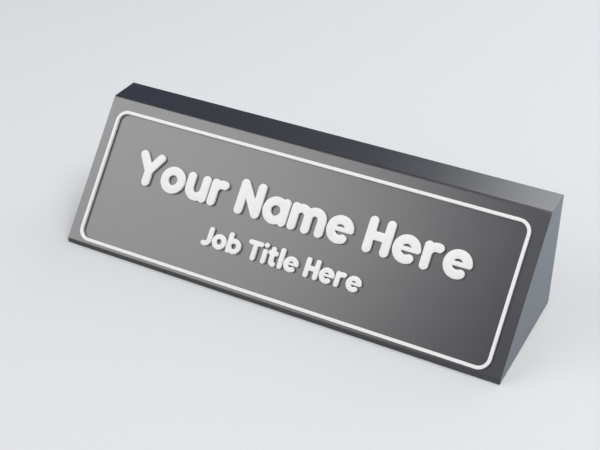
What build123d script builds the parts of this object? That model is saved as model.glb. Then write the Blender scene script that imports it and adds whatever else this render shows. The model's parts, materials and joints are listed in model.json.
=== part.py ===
"""Desk name plate: a hollow wedge with a bordered sloping face and a screwed-on base cover.

Millimetres. The origin is the middle of the footprint, on the desk. The sloping face looks
towards -Y, +X runs along the plate to the reader's right, and +Z is up.
"""

import os
from math import hypot, radians, tan

from build123d import *

# Wedge
plate_length = 210.0
plate_depth = 60.0
plate_height = 55.0
top_depth = 15.0  # flat strip along the top
lip_height = 2.2  # upright strip below the slope, measured from the desk
lip_edge_radius = 1.0  # between the lip and the slope
front_edge_radius = 1.6  # between the slope and the top
back_edge_radius = 0.3  # between the top and the back
end_edge_radius = 0.15  # round the two end faces
wall = 3.0
toe_depth = 9.0  # solid toe behind the lip
inner_corner_radius = 2.0

# Bays of the hollow, with a cross rib left between neighbours
bay_count = 4
rib_thickness = 2.0

# Base cover, let into the underside
cover_thickness = 2.5
cover_clearance = 0.2
cover_corner_radius = 2.0
ledge = 1.4  # width of the step that the cover lies against

# Border on the face: a moulded seat in the shell and a white ring on it
border_margin = 5.5  # to the ends and the top edge of the face
border_low_margin = 1.4  # to the lip
border_width = 1.45
border_corner_radius = 5.5
border_thickness = 1.25
border_edge_radius = 0.15
seat_height = 0.2
peg_radius = 0.4
peg_length = 2.0
peg_clearance = 0.1

# Anti-slip pads, let into the cover
pad_radius = 5.0
pad_pocket = 0.7
pad_proud = 0.2  # what a pad stands below the cover
pad_clearance = 0.15
pad_edge_chamfer = 0.15
pad_inset = 10.0  # pad centre to the edge of the cover's rebate

# Cover screws
screw_length = 9.5
screw_shank_radius = 1.45
screw_tip_length = 1.2
screw_head_radius = 2.75
screw_head_angle = 90.0
screw_head_land = 0.2
screw_recess = 0.2  # head below the cover's surface
screw_clearance = 0.06
screw_inset = 6.0  # rear screws to the edge of the cover's rebate
drive_length = 2.8
drive_width = 0.7
drive_depth = 1.1
pilot_spare = 0.8  # free hole beyond the screw's tip
boss_radius = 3.4
boss_cap = 2.0  # solid end of a boss above its hole

# Heights and half sizes
half_length = plate_length / 2
half_depth = plate_depth / 2
shell_base = pad_proud
ledge_height = shell_base + cover_thickness
ceiling = plate_height - wall
back_wall = half_depth - wall
toe_wall = toe_depth - half_depth

# The slope
slope_run = plate_depth - top_depth
slope_rise = plate_height - lip_height
slope_length = hypot(slope_run, slope_rise)
wall_run = wall * slope_length / slope_rise  # the sloping wall, measured level
face = Plane(origin=(0, -half_depth, lip_height), x_dir=(1, 0, 0), z_dir=(0, -slope_rise, slope_run))


def slope_y(z):
    """Where the outside of the slope is at height z."""
    return (z - lip_height) * slope_run / slope_rise - half_depth


def slope_z(y):
    """How high the outside of the slope is at y."""
    return (y + half_depth) * slope_rise / slope_run + lip_height


# Bays and ribs
bay_length = (plate_length - 2 * wall - (bay_count - 1) * rib_thickness) / bay_count
bay_pitch = bay_length + rib_thickness
bay_middles = [(bay - (bay_count - 1) / 2) * bay_pitch for bay in range(bay_count)]
outer_rib = bay_middles[-1] - bay_pitch / 2

# Rebate for the cover
rebate_length = plate_length - 2 * (wall - ledge)
rebate_front = toe_wall - ledge
rebate_back = back_wall + ledge
rebate_depth = rebate_back - rebate_front
rebate_middle = (rebate_front + rebate_back) / 2

# Screws: each stands in a boss on one of the two outer ribs
screw_face = shell_base + screw_recess
screw_end = screw_face + screw_length
head_slope = tan(radians(screw_head_angle / 2))
head_taper = (screw_head_radius - screw_shank_radius) / head_slope
screw_hole_radius = screw_shank_radius + screw_clearance
countersink_radius = screw_head_radius + screw_clearance + (screw_recess + screw_head_land) * head_slope
pilot_depth = screw_end + pilot_spare - ledge_height
boss_height = pilot_depth + boss_cap
front_screw_y = slope_y(ledge_height + boss_height) + wall_run / 2 + boss_radius
rear_screw_y = rebate_back - screw_inset
screw_places = [(x, y) for x in (-outer_rib, outer_rib) for y in (front_screw_y, rear_screw_y)]

# Pads: one near each corner of the cover
pad_x = rebate_length / 2 - pad_inset
pad_places = {
    "pad_front_left": (-pad_x, rebate_front + pad_inset),
    "pad_front_right": (pad_x, rebate_front + pad_inset),
    "pad_rear_left": (-pad_x, rebate_back - pad_inset),
    "pad_rear_right": (pad_x, rebate_back - pad_inset),
}

# Border: its box on the face and the pegs behind it, x along the plate and y up the slope
border_length = plate_length - 2 * border_margin
border_rise = slope_length - border_margin - border_low_margin
border_middle = border_low_margin + border_rise / 2
long_bar_offset = (border_rise - border_width) / 2
short_bar_x = (border_length - border_width) / 2
bend_x = border_length / 2 - border_corner_radius
peg_places = [(x, border_middle + up * long_bar_offset) for x in (-bend_x, 0, bend_x) for up in (-1, 1)]
peg_places += [(right * short_bar_x, border_middle) for right in (-1, 1)]


def border_outline(plane):
    """The border's ring, drawn on a plane parallel to the face."""
    with BuildSketch(plane) as ring:
        with Locations((0, border_middle)):
            RectangleRounded(border_length, border_rise, border_corner_radius)
            RectangleRounded(
                border_length - 2 * border_width,
                border_rise - 2 * border_width,
                border_corner_radius - border_width,
                mode=Mode.SUBTRACT,
            )
    return ring.sketch


def save(piece, name):
    """Label a finished piece and write it out under its name."""
    piece.label = name
    export_step(piece, f"parts/{name}.step")


os.makedirs("parts", exist_ok=True)
seat_top = face.offset(seat_height)

# Wedge shell: the outside, the bays and the rebate, then the bosses and the border's seat
with BuildPart() as wedge_shell:
    with BuildSketch(Plane.YZ) as outside:
        with BuildLine():
            Polyline(
                (-half_depth, shell_base),
                (-half_depth, lip_height),
                (half_depth - top_depth, plate_height),
                (half_depth, plate_height),
                (half_depth, shell_base),
                close=True,
            )
        make_face()
        fillet(outside.vertices().group_by(Axis.Y)[1], radius=lip_edge_radius)
        fillet(outside.vertices().group_by(Axis.Y)[-1].sort_by(Axis.X)[0], radius=front_edge_radius)
        fillet(outside.vertices().group_by(Axis.Y)[-1].sort_by(Axis.X)[-1], radius=back_edge_radius)
    extrude(amount=half_length, both=True)
    fillet(wedge_shell.faces().filter_by(Axis.X).edges(), radius=end_edge_radius)

    with BuildSketch(*[Plane.YZ.offset(x) for x in bay_middles]) as bays:
        with BuildLine():
            Polyline(
                (toe_wall, ledge_height),
                (toe_wall, slope_z(toe_wall - wall_run)),
                (slope_y(ceiling) + wall_run, ceiling),
                (back_wall, ceiling),
                (back_wall, ledge_height),
                close=True,
            )
        make_face()
        fillet(bays.vertices().sort_by(Axis.Y)[2:], radius=inner_corner_radius)
    extrude(amount=bay_length / 2, both=True, mode=Mode.SUBTRACT)

    with BuildSketch(Plane.XY.offset(shell_base)):
        with Locations((0, rebate_middle)):
            RectangleRounded(rebate_length, rebate_depth, cover_corner_radius)
    extrude(amount=cover_thickness, mode=Mode.SUBTRACT)

    with BuildSketch(Plane.XY.offset(ledge_height)):
        with Locations(*screw_places):
            Circle(boss_radius)
    extrude(amount=boss_height)
    with BuildSketch(Plane.XY.offset(ledge_height)):
        with Locations(*screw_places):
            Circle(screw_hole_radius)
    extrude(amount=pilot_depth, mode=Mode.SUBTRACT)

    extrude(border_outline(face), amount=seat_height)
    with BuildSketch(seat_top):
        with Locations(*peg_places):
            Circle(peg_radius + peg_clearance)
    extrude(amount=-(peg_length + peg_clearance), mode=Mode.SUBTRACT)
save(wedge_shell.part, "wedge_shell")

# White border: a ring with a softened top edge and pegs on its back
with BuildPart() as border_inlay:
    extrude(border_outline(seat_top), amount=border_thickness)
    border_top = border_inlay.faces().sort_by(Axis(face.origin, face.z_dir))[-1]
    fillet(border_top.edges(), radius=border_edge_radius)
    with BuildSketch(seat_top):
        with Locations(*peg_places):
            Circle(peg_radius)
    extrude(amount=-peg_length)
save(border_inlay.part, "border_inlay")

# Base cover: countersunk from below, with a round pocket for each pad
with BuildPart() as base_cover:
    with BuildSketch(Plane.XY.offset(shell_base)):
        with Locations((0, rebate_middle)):
            RectangleRounded(
                rebate_length - 2 * cover_clearance,
                rebate_depth - 2 * cover_clearance,
                cover_corner_radius - cover_clearance,
            )
    extrude(amount=cover_thickness)
    underside = Plane(origin=(0, 0, shell_base), x_dir=(1, 0, 0), z_dir=(0, 0, -1))
    with Locations(underside):
        with Locations(*[(x, -y) for x, y in screw_places]):
            CounterSinkHole(screw_hole_radius, countersink_radius, counter_sink_angle=screw_head_angle)
    with BuildSketch(Plane.XY.offset(shell_base)):
        with Locations(*pad_places.values()):
            Circle(pad_radius + pad_clearance)
    extrude(amount=pad_pocket, mode=Mode.SUBTRACT)
save(base_cover.part, "base_cover")

# Cover screws: one countersunk screw with a cross slot, then the four in their places
with BuildPart() as screw:
    with BuildSketch(Plane.XZ):
        with BuildLine():
            Polyline(
                (0, screw_face),
                (screw_head_radius, screw_face),
                (screw_head_radius, screw_face + screw_head_land),
                (screw_shank_radius, screw_face + screw_head_land + head_taper),
                (screw_shank_radius, screw_end - screw_tip_length),
                (0, screw_end),
                close=True,
            )
        make_face()
    revolve(axis=Axis.Z)
    with BuildSketch(Plane.XY.offset(screw_face)):
        Rectangle(drive_length, drive_width)
        Rectangle(drive_width, drive_length)
    extrude(amount=drive_depth, mode=Mode.SUBTRACT)
with BuildPart() as cover_screws:
    with Locations(*screw_places):
        add(screw.part)
save(cover_screws.part, "cover_screws")

# Anti-slip pads: round, with a chamfered lower edge, standing on the desk
for pad_name, pad_place in pad_places.items():
    with BuildPart() as pad:
        with BuildSketch(Plane.XY):
            with Locations(pad_place):
                Circle(pad_radius)
        extrude(amount=pad_proud + pad_pocket)
        chamfer(pad.edges().sort_by(Axis.Z)[0], length=pad_edge_chamfer)
    save(pad.part, pad_name)
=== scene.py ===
"""Desk name plate: its finishes, its raised lettering, and a plain studio round it.

Metres, in the frame of the CAD solids: +X along the plate, -Y the way its face looks, +Z up.
"""

import json
import math

import bmesh
import bpy
from mathutils import Matrix, Vector
from mathutils.geometry import delaunay_2d_cdt


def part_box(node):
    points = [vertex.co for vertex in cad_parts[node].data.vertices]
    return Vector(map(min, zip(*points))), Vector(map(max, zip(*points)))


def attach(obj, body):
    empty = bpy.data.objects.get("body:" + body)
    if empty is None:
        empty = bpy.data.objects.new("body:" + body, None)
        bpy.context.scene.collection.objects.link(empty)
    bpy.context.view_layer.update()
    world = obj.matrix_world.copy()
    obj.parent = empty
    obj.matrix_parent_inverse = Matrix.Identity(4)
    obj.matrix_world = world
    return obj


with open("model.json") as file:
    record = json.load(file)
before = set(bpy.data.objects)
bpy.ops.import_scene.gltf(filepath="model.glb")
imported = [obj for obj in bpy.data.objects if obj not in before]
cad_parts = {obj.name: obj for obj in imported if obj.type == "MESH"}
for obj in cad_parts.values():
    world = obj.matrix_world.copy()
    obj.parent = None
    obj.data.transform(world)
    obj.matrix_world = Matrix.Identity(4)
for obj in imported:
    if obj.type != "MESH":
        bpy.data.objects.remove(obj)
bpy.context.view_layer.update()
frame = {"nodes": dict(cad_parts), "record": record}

MM = 0.001

# The sloping face, from the shell's box and the two strips that the box doesn't show
LIP_HEIGHT = 2.2 * MM
TOP_STRIP = 15 * MM
shell_low, shell_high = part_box("wedge_shell")
face_foot = Vector((0, shell_low.y, LIP_HEIGHT))
face_head = Vector((0, shell_high.y - TOP_STRIP, shell_high.z))
along = Vector((1, 0, 0))
up_slope = (face_head - face_foot).normalized()
outward = along.cross(up_slope)
face_place = Matrix.Translation(face_foot) @ Matrix((along, up_slope, outward)).transposed().to_4x4()


class Shade:
    """One output of a finish's nodes. Sums and products of shades add Math nodes."""

    def __init__(self, finish, socket):
        self.finish = finish
        self.socket = socket

    def __add__(self, other):
        return self.finish.math("ADD", self, other)

    def __radd__(self, other):
        return self.finish.math("ADD", other, self)

    def __sub__(self, other):
        return self.finish.math("SUBTRACT", self, other)

    def __rsub__(self, other):
        return self.finish.math("SUBTRACT", other, self)

    def __mul__(self, other):
        return self.finish.math("MULTIPLY", self, other)

    def __rmul__(self, other):
        return self.finish.math("MULTIPLY", other, self)


class Finish:
    """A material in the making, with its patterns on Object coordinates."""

    def __init__(self, name, **surface):
        self.material = bpy.data.materials.new(name)
        self.material.use_nodes = True
        self.tree = self.material.node_tree
        self.surface = self.tree.nodes["Principled BSDF"]
        self.place = self.node("ShaderNodeTexCoord", output="Object")
        self.set(**surface)

    def node(self, kind, settings=None, sockets=None, output=0):
        """A node of any kind: its settings first, then the values or links of its sockets."""
        made = self.tree.nodes.new(kind)
        for name, value in (settings or {}).items():
            setattr(made, name, value)
        for name, value in (sockets or {}).items():
            self.feed(made, name, value)
        return Shade(self, made.outputs[output])

    def feed(self, node, name, value):
        """Set or link the socket of a node that has this identifier."""
        socket = next(each for each in node.inputs if each.identifier == name)
        if isinstance(value, Shade):
            self.tree.links.new(value.socket, socket)
        else:
            socket.default_value = value

    def set(self, **surface):
        """Set or link the surface shader's sockets, named with _ for a space."""
        for name, value in surface.items():
            self.feed(self.surface, name.replace("_", " "), value)

    def math(self, operation, first, second):
        """A Math node on two values."""
        sockets = {"Value": first, "Value_001": second}
        return self.node("ShaderNodeMath", {"operation": operation}, sockets)

    def noise(self, size, detail=2.0, roughness=0.5):
        """Soft blotches about this big, from 0 to 1 with most of it near a half."""
        sockets = {"Vector": self.place, "Scale": 1 / size, "Detail": detail, "Roughness": roughness}
        return self.node("ShaderNodeTexNoise", None, sockets)

    def ramp(self, axis, start, end):
        """From 0 to 1, softly, between two places along an axis."""
        along_axis = self.node("ShaderNodeSeparateXYZ", None, {"Vector": self.place}, output=axis)
        sockets = {"Value": along_axis, "From Min": start, "From Max": end}
        return self.node("ShaderNodeMapRange", {"interpolation_type": "SMOOTHSTEP"}, sockets)

    def blend(self, share, first, second):
        """From the first colour to the second as the share goes from 0 to 1."""
        sockets = {"Factor_Float": share, "A_Color": (*first, 1), "B_Color": (*second, 1)}
        return self.node("ShaderNodeMix", {"data_type": "RGBA"}, sockets, output="Result")

    def bump(self, height, depth, strength):
        """A normal that follows a pattern of this depth."""
        sockets = {"Height": height, "Distance": depth, "Strength": strength}
        return self.node("ShaderNodeBump", None, sockets)


# Satin graphite
# The dark end below is reached only in the painted shade at the lip
GRAPHITE_LIP_SHADE = (0.1, 0.1, 0.101)
GRAPHITE_PALE = (0.193, 0.193, 0.194)
GRAPHITE_GLANCE = (0.87, 0.93, 1.0, 1)  # tint of what it mirrors at a low angle
GRAPHITE_MOTTLE = 18 * MM
GRAPHITE_GRAIN = 0.35 * MM
GRAPHITE_GRAIN_DEPTH = 0.01 * MM
FOOT_SHARE = 0.627  # of the way from dark to pale, at the foot
PAINTED_SHADE_BY_HEIGHT = 0.188  # painted shade: what the top adds to that, so the graphite is darker towards the foot
MOTTLE_SHARE = 0.17  # and what the mottle adds at most
LIP_SHADE_FADE = 0.2 * MM  # depth over which painted shade turns the graphite dark towards the lip
LIP_SHADE_FADE_PAST = 0.02 * MM  # how far past the lip the painted shade would be all dark


def graphite_finish():
    """Satin graphite with a soft metallic sheen, faintly mottled, with painted shade: a touch darker
    towards the foot and dark at the lip.
    """
    finish = Finish("satin_graphite", Metallic=1.0, Specular_Tint=GRAPHITE_GLANCE)
    mottle = finish.noise(GRAPHITE_MOTTLE, detail=3)
    grain = finish.noise(GRAPHITE_GRAIN)
    # Painted shade: a height ramp that makes the graphite paler at the top and darker towards the foot
    height = finish.ramp("Z", 0.0, shell_high.z)
    # Painted shade: the graphite darkens at the lip, standing in for the darker reflection there
    painted_lip_shade = finish.ramp("Y", shell_low.y + LIP_SHADE_FADE, shell_low.y - LIP_SHADE_FADE_PAST)
    paleness_with_painted_shade = (FOOT_SHARE + PAINTED_SHADE_BY_HEIGHT * height + MOTTLE_SHARE * mottle) * (1 - painted_lip_shade)
    finish.set(
        Base_Color=finish.blend(paleness_with_painted_shade, GRAPHITE_LIP_SHADE, GRAPHITE_PALE),
        Roughness=0.28 + 0.04 * mottle,
        Normal=finish.bump(grain, GRAPHITE_GRAIN_DEPTH, strength=0.2),
    )
    return finish.material


# Matt white
WHITE_DULL = (0.864, 0.859, 0.844)
WHITE_CLEAR = (0.894, 0.889, 0.873)
WHITE_CLOUD = 9 * MM
WHITE_GRAIN = 0.3 * MM
WHITE_GRAIN_DEPTH = 0.02 * MM


def white_finish():
    """Matt white with a fine grain."""
    finish = Finish("matt_white")
    cloud = finish.noise(WHITE_CLOUD, detail=3)
    grain = finish.noise(WHITE_GRAIN)
    finish.set(
        Base_Color=finish.blend(cloud, WHITE_DULL, WHITE_CLEAR),
        Roughness=0.45 + 0.10 * grain,
        Normal=finish.bump(grain, WHITE_GRAIN_DEPTH, strength=0.25),
    )
    return finish.material


# Grained black of the base cover
COVER_DARK = (0.022, 0.022, 0.023)
COVER_PALE = (0.036, 0.036, 0.038)
COVER_CLOUD = 14 * MM
COVER_GRAIN = 0.6 * MM
COVER_GRAIN_DEPTH = 0.05 * MM


def cover_finish():
    """Black moulded plastic with a coarser grain than the shell's."""
    finish = Finish("grained_black")
    cloud = finish.noise(COVER_CLOUD, detail=3)
    grain = finish.noise(COVER_GRAIN, detail=3)
    finish.set(
        Base_Color=finish.blend(cloud, COVER_DARK, COVER_PALE),
        Roughness=0.50 + 0.15 * grain,
        Normal=finish.bump(grain, COVER_GRAIN_DEPTH, strength=0.5),
    )
    return finish.material


# Zinc-plated steel
ZINC_DARK = (0.48, 0.49, 0.51)
ZINC_BRIGHT = (0.64, 0.64, 0.64)
ZINC_CLOUD = 1.2 * MM
ZINC_CLOUD_DEPTH = 0.02 * MM


def steel_finish():
    """Zinc-plated steel: bright, a little clouded."""
    finish = Finish("zinc_steel", Metallic=1.0)
    cloud = finish.noise(ZINC_CLOUD, detail=4)
    finish.set(
        Base_Color=finish.blend(cloud, ZINC_DARK, ZINC_BRIGHT),
        Roughness=0.22 + 0.16 * cloud,
        Normal=finish.bump(cloud, ZINC_CLOUD_DEPTH, strength=0.3),
    )
    return finish.material


# Soft rubber
RUBBER_CLEAN = (0.014, 0.014, 0.014)
RUBBER_DUSTY = (0.034, 0.034, 0.033)
RUBBER_DUST = 2.5 * MM
RUBBER_GRAIN = 0.4 * MM
RUBBER_GRAIN_DEPTH = 0.05 * MM


def rubber_finish():
    """Soft black rubber with a dusty grain."""
    finish = Finish("soft_rubber")
    dust = finish.noise(RUBBER_DUST, detail=4, roughness=0.6)
    grain = finish.noise(RUBBER_GRAIN)
    finish.set(
        Base_Color=finish.blend(dust, RUBBER_CLEAN, RUBBER_DUSTY),
        Roughness=0.75 + 0.15 * grain,
        Normal=finish.bump(grain, RUBBER_GRAIN_DEPTH, strength=0.5),
    )
    return finish.material


# The finish of each slot, given to the solids
finishes = {
    "graphite_shell": graphite_finish(),
    "white_relief": white_finish(),
    "black_cover": cover_finish(),
    "screw_steel": steel_finish(),
    "pad_rubber": rubber_finish(),
}
for subpart in frame["record"]["subparts"]:
    node_mesh = frame["nodes"][subpart["node"]].data
    node_mesh.materials.clear()
    node_mesh.materials.append(finishes[subpart["material_slot"]])

# Lettering: round-ended strokes on a grid where small letters are 1 high between stroke middles.
# A bar is (x, y, x, y) from end to end. A bow is (middle x, y, radius, first angle, sweep) in degrees,
# and its first end lies on a bar. A dot is (x, y).
STROKE = 0.46
THIN_STROKE = 0.23
CAPITAL = 1.42
TALL = 1.5
LETTER_GAP = 0.10
WORD_GAP = 0.55
FULL_TURN = 360
ROUND_BOW = (0.5, 0.5, 0.5, 0, FULL_TURN)
LETTERS = {
    "H": {"width": 0.95, "bars": [(0, 0, 0, CAPITAL), (0.95, 0, 0.95, CAPITAL), (0, 0.71, 0.95, 0.71)]},
    "J": {"width": 0.55, "bars": [(0.55, CAPITAL, 0.55, 0.4)], "bows": [(0.15, 0.4, 0.4, 0, -108)]},
    "N": {"width": 1.0, "bars": [(0, 0, 0, CAPITAL), (0, CAPITAL, 1, 0), (1, 0, 1, CAPITAL)]},
    "T": {"width": 1.05, "bars": [(0, CAPITAL, 1.05, CAPITAL), (0.525, CAPITAL, 0.525, 0)]},
    "Y": {
        "width": 1.06,
        "bars": [(0, CAPITAL, 0.53, 0.62), (1.06, CAPITAL, 0.53, 0.62), (0.53, 0.62, 0.53, 0)],
    },
    "a": {"width": 1.0, "bars": [(1, 1, 1, 0)], "bows": [ROUND_BOW]},
    "b": {"width": 1.0, "bars": [(0, TALL, 0, 0)], "bows": [ROUND_BOW]},
    "e": {"width": 1.0, "thin_bars": [(0, 0.52, 1.1, 0.52)], "bows": [(0.5, 0.5, 0.5, 0, 300)]},
    "i": {"width": 0.0, "bars": [(0, 0.92, 0, 0)], "dots": [(0, 1.52)]},
    "l": {"width": 0.0, "bars": [(0, TALL, 0, 0)]},
    "m": {
        "width": 1.56,
        "bars": [(0, 1, 0, 0), (0.78, 0.61, 0.78, 0), (1.56, 0.61, 1.56, 0)],
        "bows": [(0.39, 0.61, 0.39, 180, -180), (1.17, 0.61, 0.39, 180, -180)],
    },
    "o": {"width": 1.0, "bows": [ROUND_BOW]},
    "r": {"width": 0.55, "bars": [(0, 1, 0, 0)], "bows": [(0.45, 0.55, 0.45, 180, -102)]},
    "t": {
        "width": 0.6,
        "bars": [(0.22, 1.36, 0.22, 0.3), (0, 1, 0.55, 1)],
        "bows": [(0.52, 0.3, 0.3, 180, 84)],
    },
    "u": {
        "width": 0.9,
        "bars": [(0, 1, 0, 0.45), (0.9, 1, 0.9, 0)],
        "bows": [(0.45, 0.45, 0.45, 180, 180)],
    },
}

# The two lines: their words, the height of a small letter between stroke middles, and the distance
# of their foot up the slope
LINES = {
    "name": {"words": "Your Name Here", "letter": 8.4 * MM, "foot": 34.9 * MM},
    "title": {"words": "Job Title Here", "letter": 4.7 * MM, "foot": 16.6 * MM},
}

# How the letters' flat outlines are made, on the letters' grid
BOW_STEP = 6  # degrees of a bow or a round end to each of its edges
INSIDE_TRIANGLES = 1  # asks the cutting of the strokes for the triangles that they enclose
CROSSING_WELD = 1e-5  # points of the strokes that are nearer than this are one
CORNER_WELD = 1e-3  # and so are corners of the finished outline
FLAT_ANGLE = math.radians(1)  # triangles that meet at less than this become one face

# Relief on the face: a dark step moulded with the shell, and white on top of it
SEAT_HEIGHT = 0.2 * MM
SEAT_SINK = 0.05 * MM
RELIEF_HEIGHT = 1.25 * MM
RELIEF_RIM = 0.15 * MM
RIM_SEGMENTS = 3
WALL_LEAN = 0.5  # the normal of a side wall has less z than this
FLAT_LEAN = 0.99  # and that of a flat face has more than this
SMOOTH_ANGLE = math.radians(40)
LISTING_WAY = Vector((1, 0.41, 0.17))  # a slant along which hardly any two places are level


def lay_dot(bm, place, width):
    """A flat round end of a stroke, or the dot of a letter."""
    segments = FULL_TURN // BOW_STEP
    bmesh.ops.create_circle(bm, cap_ends=True, radius=width / 2, segments=segments, matrix=place)


def lay_bar(bm, bar, width):
    """A flat bar from one point to another, with round ends."""
    start = Vector((*bar[:2], 0))
    end = Vector((*bar[2:], 0))
    run = end - start
    turn = Matrix.Rotation(math.atan2(run.y, run.x), 4, "Z")
    stretch = Matrix.Diagonal((run.length, width, 1, 1))
    place = Matrix.Translation((start + end) / 2) @ turn @ stretch
    bmesh.ops.create_grid(bm, x_segments=1, y_segments=1, size=0.5, matrix=place)
    for point in (start, end):
        lay_dot(bm, Matrix.Translation(point) @ turn, width)


def lay_bow(bm, bow, width):
    """A flat bow: a short edge across the stroke, spun about the bow's middle, with a round last end."""
    x, y, radius, first, sweep = bow
    middle = Vector((x, y, 0))
    spoke = Matrix.Rotation(math.radians(first), 3, "Z") @ Vector((1, 0, 0))
    inner = bm.verts.new(middle + spoke * (radius - width / 2))
    outer = bm.verts.new(middle + spoke * (radius + width / 2))
    closed = abs(sweep) == FULL_TURN
    bmesh.ops.spin(
        bm,
        geom=[inner, outer, bm.edges.new((inner, outer))],
        cent=middle,
        axis=(0, 0, 1),
        angle=math.radians(sweep),
        steps=abs(sweep) // BOW_STEP,
        use_merge=closed,
    )
    if not closed:
        last_spoke = Matrix.Rotation(math.radians(sweep), 3, "Z") @ spoke
        lay_dot(bm, Matrix.Translation(middle + last_spoke * radius), width)


def lay_strokes(letter):
    """A letter's flat strokes, which overlap where they meet, all facing up."""
    strokes = bmesh.new()
    for bar in letter.get("bars", []):
        lay_bar(strokes, bar, STROKE)
    for bar in letter.get("thin_bars", []):
        lay_bar(strokes, bar, THIN_STROKE)
    for bow in letter.get("bows", []):
        lay_bow(strokes, bow, STROKE)
    for x, y in letter.get("dots", []):
        lay_dot(strokes, Matrix.Translation((x, y, 0)), STROKE)
    strokes.normal_update()
    bmesh.ops.reverse_faces(strokes, faces=[shape for shape in strokes.faces if shape.normal.z < 0])
    return strokes


def add_letter(bm, letter, x):
    """A letter without overlaps: its strokes cut where they cross, and kept where any stroke lies."""
    strokes = lay_strokes(letter)
    strokes.verts.index_update()
    points = [vert.co.xy for vert in strokes.verts]
    shapes = [[vert.index for vert in shape.verts] for shape in strokes.faces]
    strokes.free()
    cuts = delaunay_2d_cdt(points, [], shapes, INSIDE_TRIANGLES, CROSSING_WELD)
    cut_points, _, triangles, _, _, shapes_there = cuts
    corners = [bm.verts.new((point.x + x, point.y, 0)) for point in cut_points]
    for triangle, shapes_here in zip(triangles, shapes_there):
        if shapes_here:
            bm.faces.new([corners[index] for index in triangle])


def words_outline(line):
    """A line's letters as one flat mesh, centred on x with their foot up the slope."""
    bm = bmesh.new()
    x = 0.0
    for character in line["words"]:
        if character == " ":
            x += WORD_GAP
            continue
        letter = LETTERS[character]
        add_letter(bm, letter, x)
        x += letter["width"] + STROKE + LETTER_GAP
    length = x - STROKE - LETTER_GAP
    bmesh.ops.remove_doubles(bm, verts=bm.verts, dist=CORNER_WELD)
    bmesh.ops.dissolve_degenerate(bm, edges=bm.edges, dist=CORNER_WELD)
    bm.normal_update()
    bmesh.ops.dissolve_limit(bm, angle_limit=FLAT_ANGLE, verts=bm.verts, edges=bm.edges)
    stray = [vert for vert in bm.verts if not vert.link_faces]
    bmesh.ops.delete(bm, geom=stray, context="VERTS")
    bmesh.ops.translate(bm, verts=bm.verts, vec=(-length / 2, 0, 0))
    bmesh.ops.scale(bm, verts=bm.verts, vec=(line["letter"], line["letter"], 1))
    bmesh.ops.translate(bm, verts=bm.verts, vec=(0, line["foot"], 0))
    return bm


def is_rim(edge, height):
    """Whether an edge lies at this height, between a flat top and a side wall."""
    at_height = all(abs(vert.co.z - height) < RELIEF_RIM / 2 for vert in edge.verts)
    return at_height and any(abs(side.normal.z) < WALL_LEAN for side in edge.link_faces)


def soften_rim(bm, height):
    """Round off the edge of the top faces."""
    bmesh.ops.bevel(
        bm,
        geom=[edge for edge in bm.edges if is_rim(edge, height)],
        offset=RELIEF_RIM,
        affect="EDGES",
        segments=RIM_SEGMENTS,
        profile=0.5,
        material=-1,
    )


def put_in_order(bm):
    """List a mesh's corners, edges and faces by their places, so that every run lists them alike."""
    bm.verts.sort(key=lambda vert: LISTING_WAY.dot(vert.co))
    bm.edges.sort(key=lambda edge: LISTING_WAY.dot(edge.verts[0].co + edge.verts[1].co))
    bm.faces.sort(key=lambda side: LISTING_WAY.dot(side.calc_center_median()))


def raised_words(name, outline, low, high, slot, rim):
    """A line of words as one piece on the face, between two heights above it."""
    bm = outline.copy()
    bmesh.ops.translate(bm, verts=bm.verts, vec=(0, 0, low))
    raised = bmesh.ops.extrude_face_region(bm, geom=bm.faces[:])["geom"]
    raised_verts = [part for part in raised if isinstance(part, bmesh.types.BMVert)]
    bmesh.ops.translate(bm, verts=raised_verts, vec=(0, 0, high - low))
    bmesh.ops.recalc_face_normals(bm, faces=bm.faces)
    if rim:
        soften_rim(bm, high)
    for side in bm.faces:
        side.smooth = abs(side.normal.z) < FLAT_LEAN
    put_in_order(bm)
    mesh = bpy.data.meshes.new(name)
    bm.to_mesh(mesh)
    bm.free()
    mesh.transform(face_place)
    mesh.set_sharp_from_angle(angle=SMOOTH_ANGLE)
    mesh.materials.append(finishes[slot])
    piece = bpy.data.objects.new(name, mesh)
    bpy.context.scene.collection.objects.link(piece)
    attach(piece, "root")


relief_top = SEAT_HEIGHT + RELIEF_HEIGHT
for line_name, line in LINES.items():
    outline = words_outline(line)
    raised_words(line_name + "_seat", outline, -SEAT_SINK, SEAT_HEIGHT, "graphite_shell", rim=False)
    raised_words(line_name + "_letters", outline, SEAT_HEIGHT, relief_top, "white_relief", rim=True)
    outline.free()

# Floor
FLOOR_REACH = 12.0
FLOOR_CLOUD = 0.4
FLOOR_DULL = (0.664, 0.68, 0.693)
FLOOR_CLEAR = (0.678, 0.693, 0.707)


def floor_finish():
    """Pale studio floor, very faintly clouded."""
    finish = Finish("pale_floor", Roughness=0.8, Specular_IOR_Level=0.1)
    cloud = finish.noise(FLOOR_CLOUD)
    finish.set(Base_Color=finish.blend(cloud, FLOOR_DULL, FLOOR_CLEAR))
    return finish.material


floor_bm = bmesh.new()
bmesh.ops.create_grid(floor_bm, x_segments=1, y_segments=1, size=FLOOR_REACH)
floor_mesh = bpy.data.meshes.new("floor")
floor_bm.to_mesh(floor_mesh)
floor_bm.free()
floor_mesh.materials.append(floor_finish())
floor = bpy.data.objects.new("floor", floor_mesh)
bpy.context.scene.collection.objects.link(floor)

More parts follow.
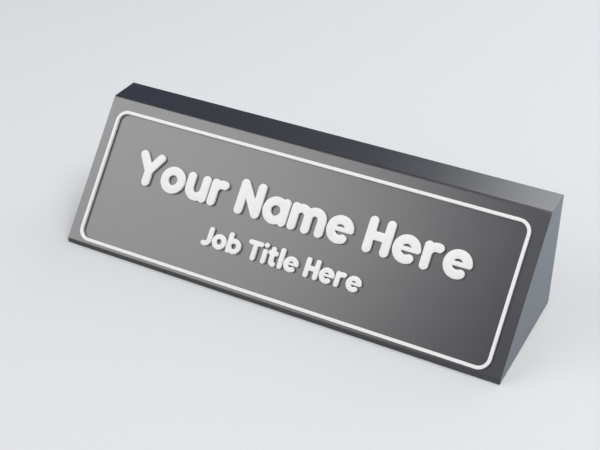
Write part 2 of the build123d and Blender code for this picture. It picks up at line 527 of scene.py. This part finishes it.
# Studio light: three softboxes and a dim sky. Bearings are turned from the front (-Y) towards the
# right (+X), in degrees, and a softbox's brightness is that of its surface.
LIGHT_AIM = Vector((0, 0, 25 * MM))
LIGHT_DISTANCE = 1.2
SOFTBOXES = {
    "key_softbox": {
        "bearing": -54,
        "elevation": 33,
        "width": 1.2,
        "height": 0.82,
        "brightness": 1.868,
        "colour": (1.0, 0.984, 0.946),
    },
    "high_softbox": {
        "bearing": 80,
        "elevation": 70,
        "width": 0.9,
        "height": 0.7,
        "brightness": 5.6,
        "colour": (1.0, 0.988, 0.937),
    },
    "rear_softbox": {
        "bearing": 165,
        "elevation": 36,
        "width": 1.0,
        "height": 0.8,
        "brightness": 2.07,
        "colour": (1.0, 0.999, 0.979),
    },
}
SKY_COLOUR = (0.727, 0.767, 1.0, 1)
SKY_BRIGHTNESS = 0.245


def from_bearing(bearing, elevation):
    """The direction to something seen at this bearing and elevation."""
    turn = math.radians(bearing)
    rise = math.radians(elevation)
    level = math.cos(rise)
    return Vector((math.sin(turn) * level, -math.cos(turn) * level, math.sin(rise)))


def add_softbox(name, bearing, elevation, width, height, brightness, colour):
    """A rectangular lamp that faces the plate."""
    lamp = bpy.data.lights.new(name, "AREA")
    lamp.shape = "RECTANGLE"
    lamp.size = width
    lamp.size_y = height
    lamp.energy = brightness * math.pi * width * height
    lamp.color = colour
    towards = from_bearing(bearing, elevation)
    holder = bpy.data.objects.new(name, lamp)
    holder.location = LIGHT_AIM + towards * LIGHT_DISTANCE
    holder.rotation_euler = towards.to_track_quat("Z", "Y").to_euler()
    bpy.context.scene.collection.objects.link(holder)


for softbox_name, setting in SOFTBOXES.items():
    add_softbox(softbox_name, **setting)

world = bpy.data.worlds.new("studio")
bpy.context.scene.world = world
world.use_nodes = True
sky = world.node_tree.nodes["Background"]
sky.inputs["Color"].default_value = SKY_COLOUR
sky.inputs["Strength"].default_value = SKY_BRIGHTNESS

# Camera, at the photo's viewing angle
CAMERA_AIM = Vector((3.02, -5.41, 28.89)) * MM
CAMERA_BEARING = 28.06
CAMERA_ELEVATION = 34.01
CAMERA_DISTANCE = 0.5062
CAMERA_LENS = 71.0
lens = bpy.data.cameras.new("camera")
lens.lens = CAMERA_LENS
camera = bpy.data.objects.new("camera", lens)
camera_towards = from_bearing(CAMERA_BEARING, CAMERA_ELEVATION)
camera.location = CAMERA_AIM + camera_towards * CAMERA_DISTANCE
camera.rotation_euler = camera_towards.to_track_quat("Z", "Y").to_euler()
bpy.context.scene.collection.objects.link(camera)
bpy.context.scene.camera = camera
bpy.context.scene.view_settings.view_transform = "Standard"
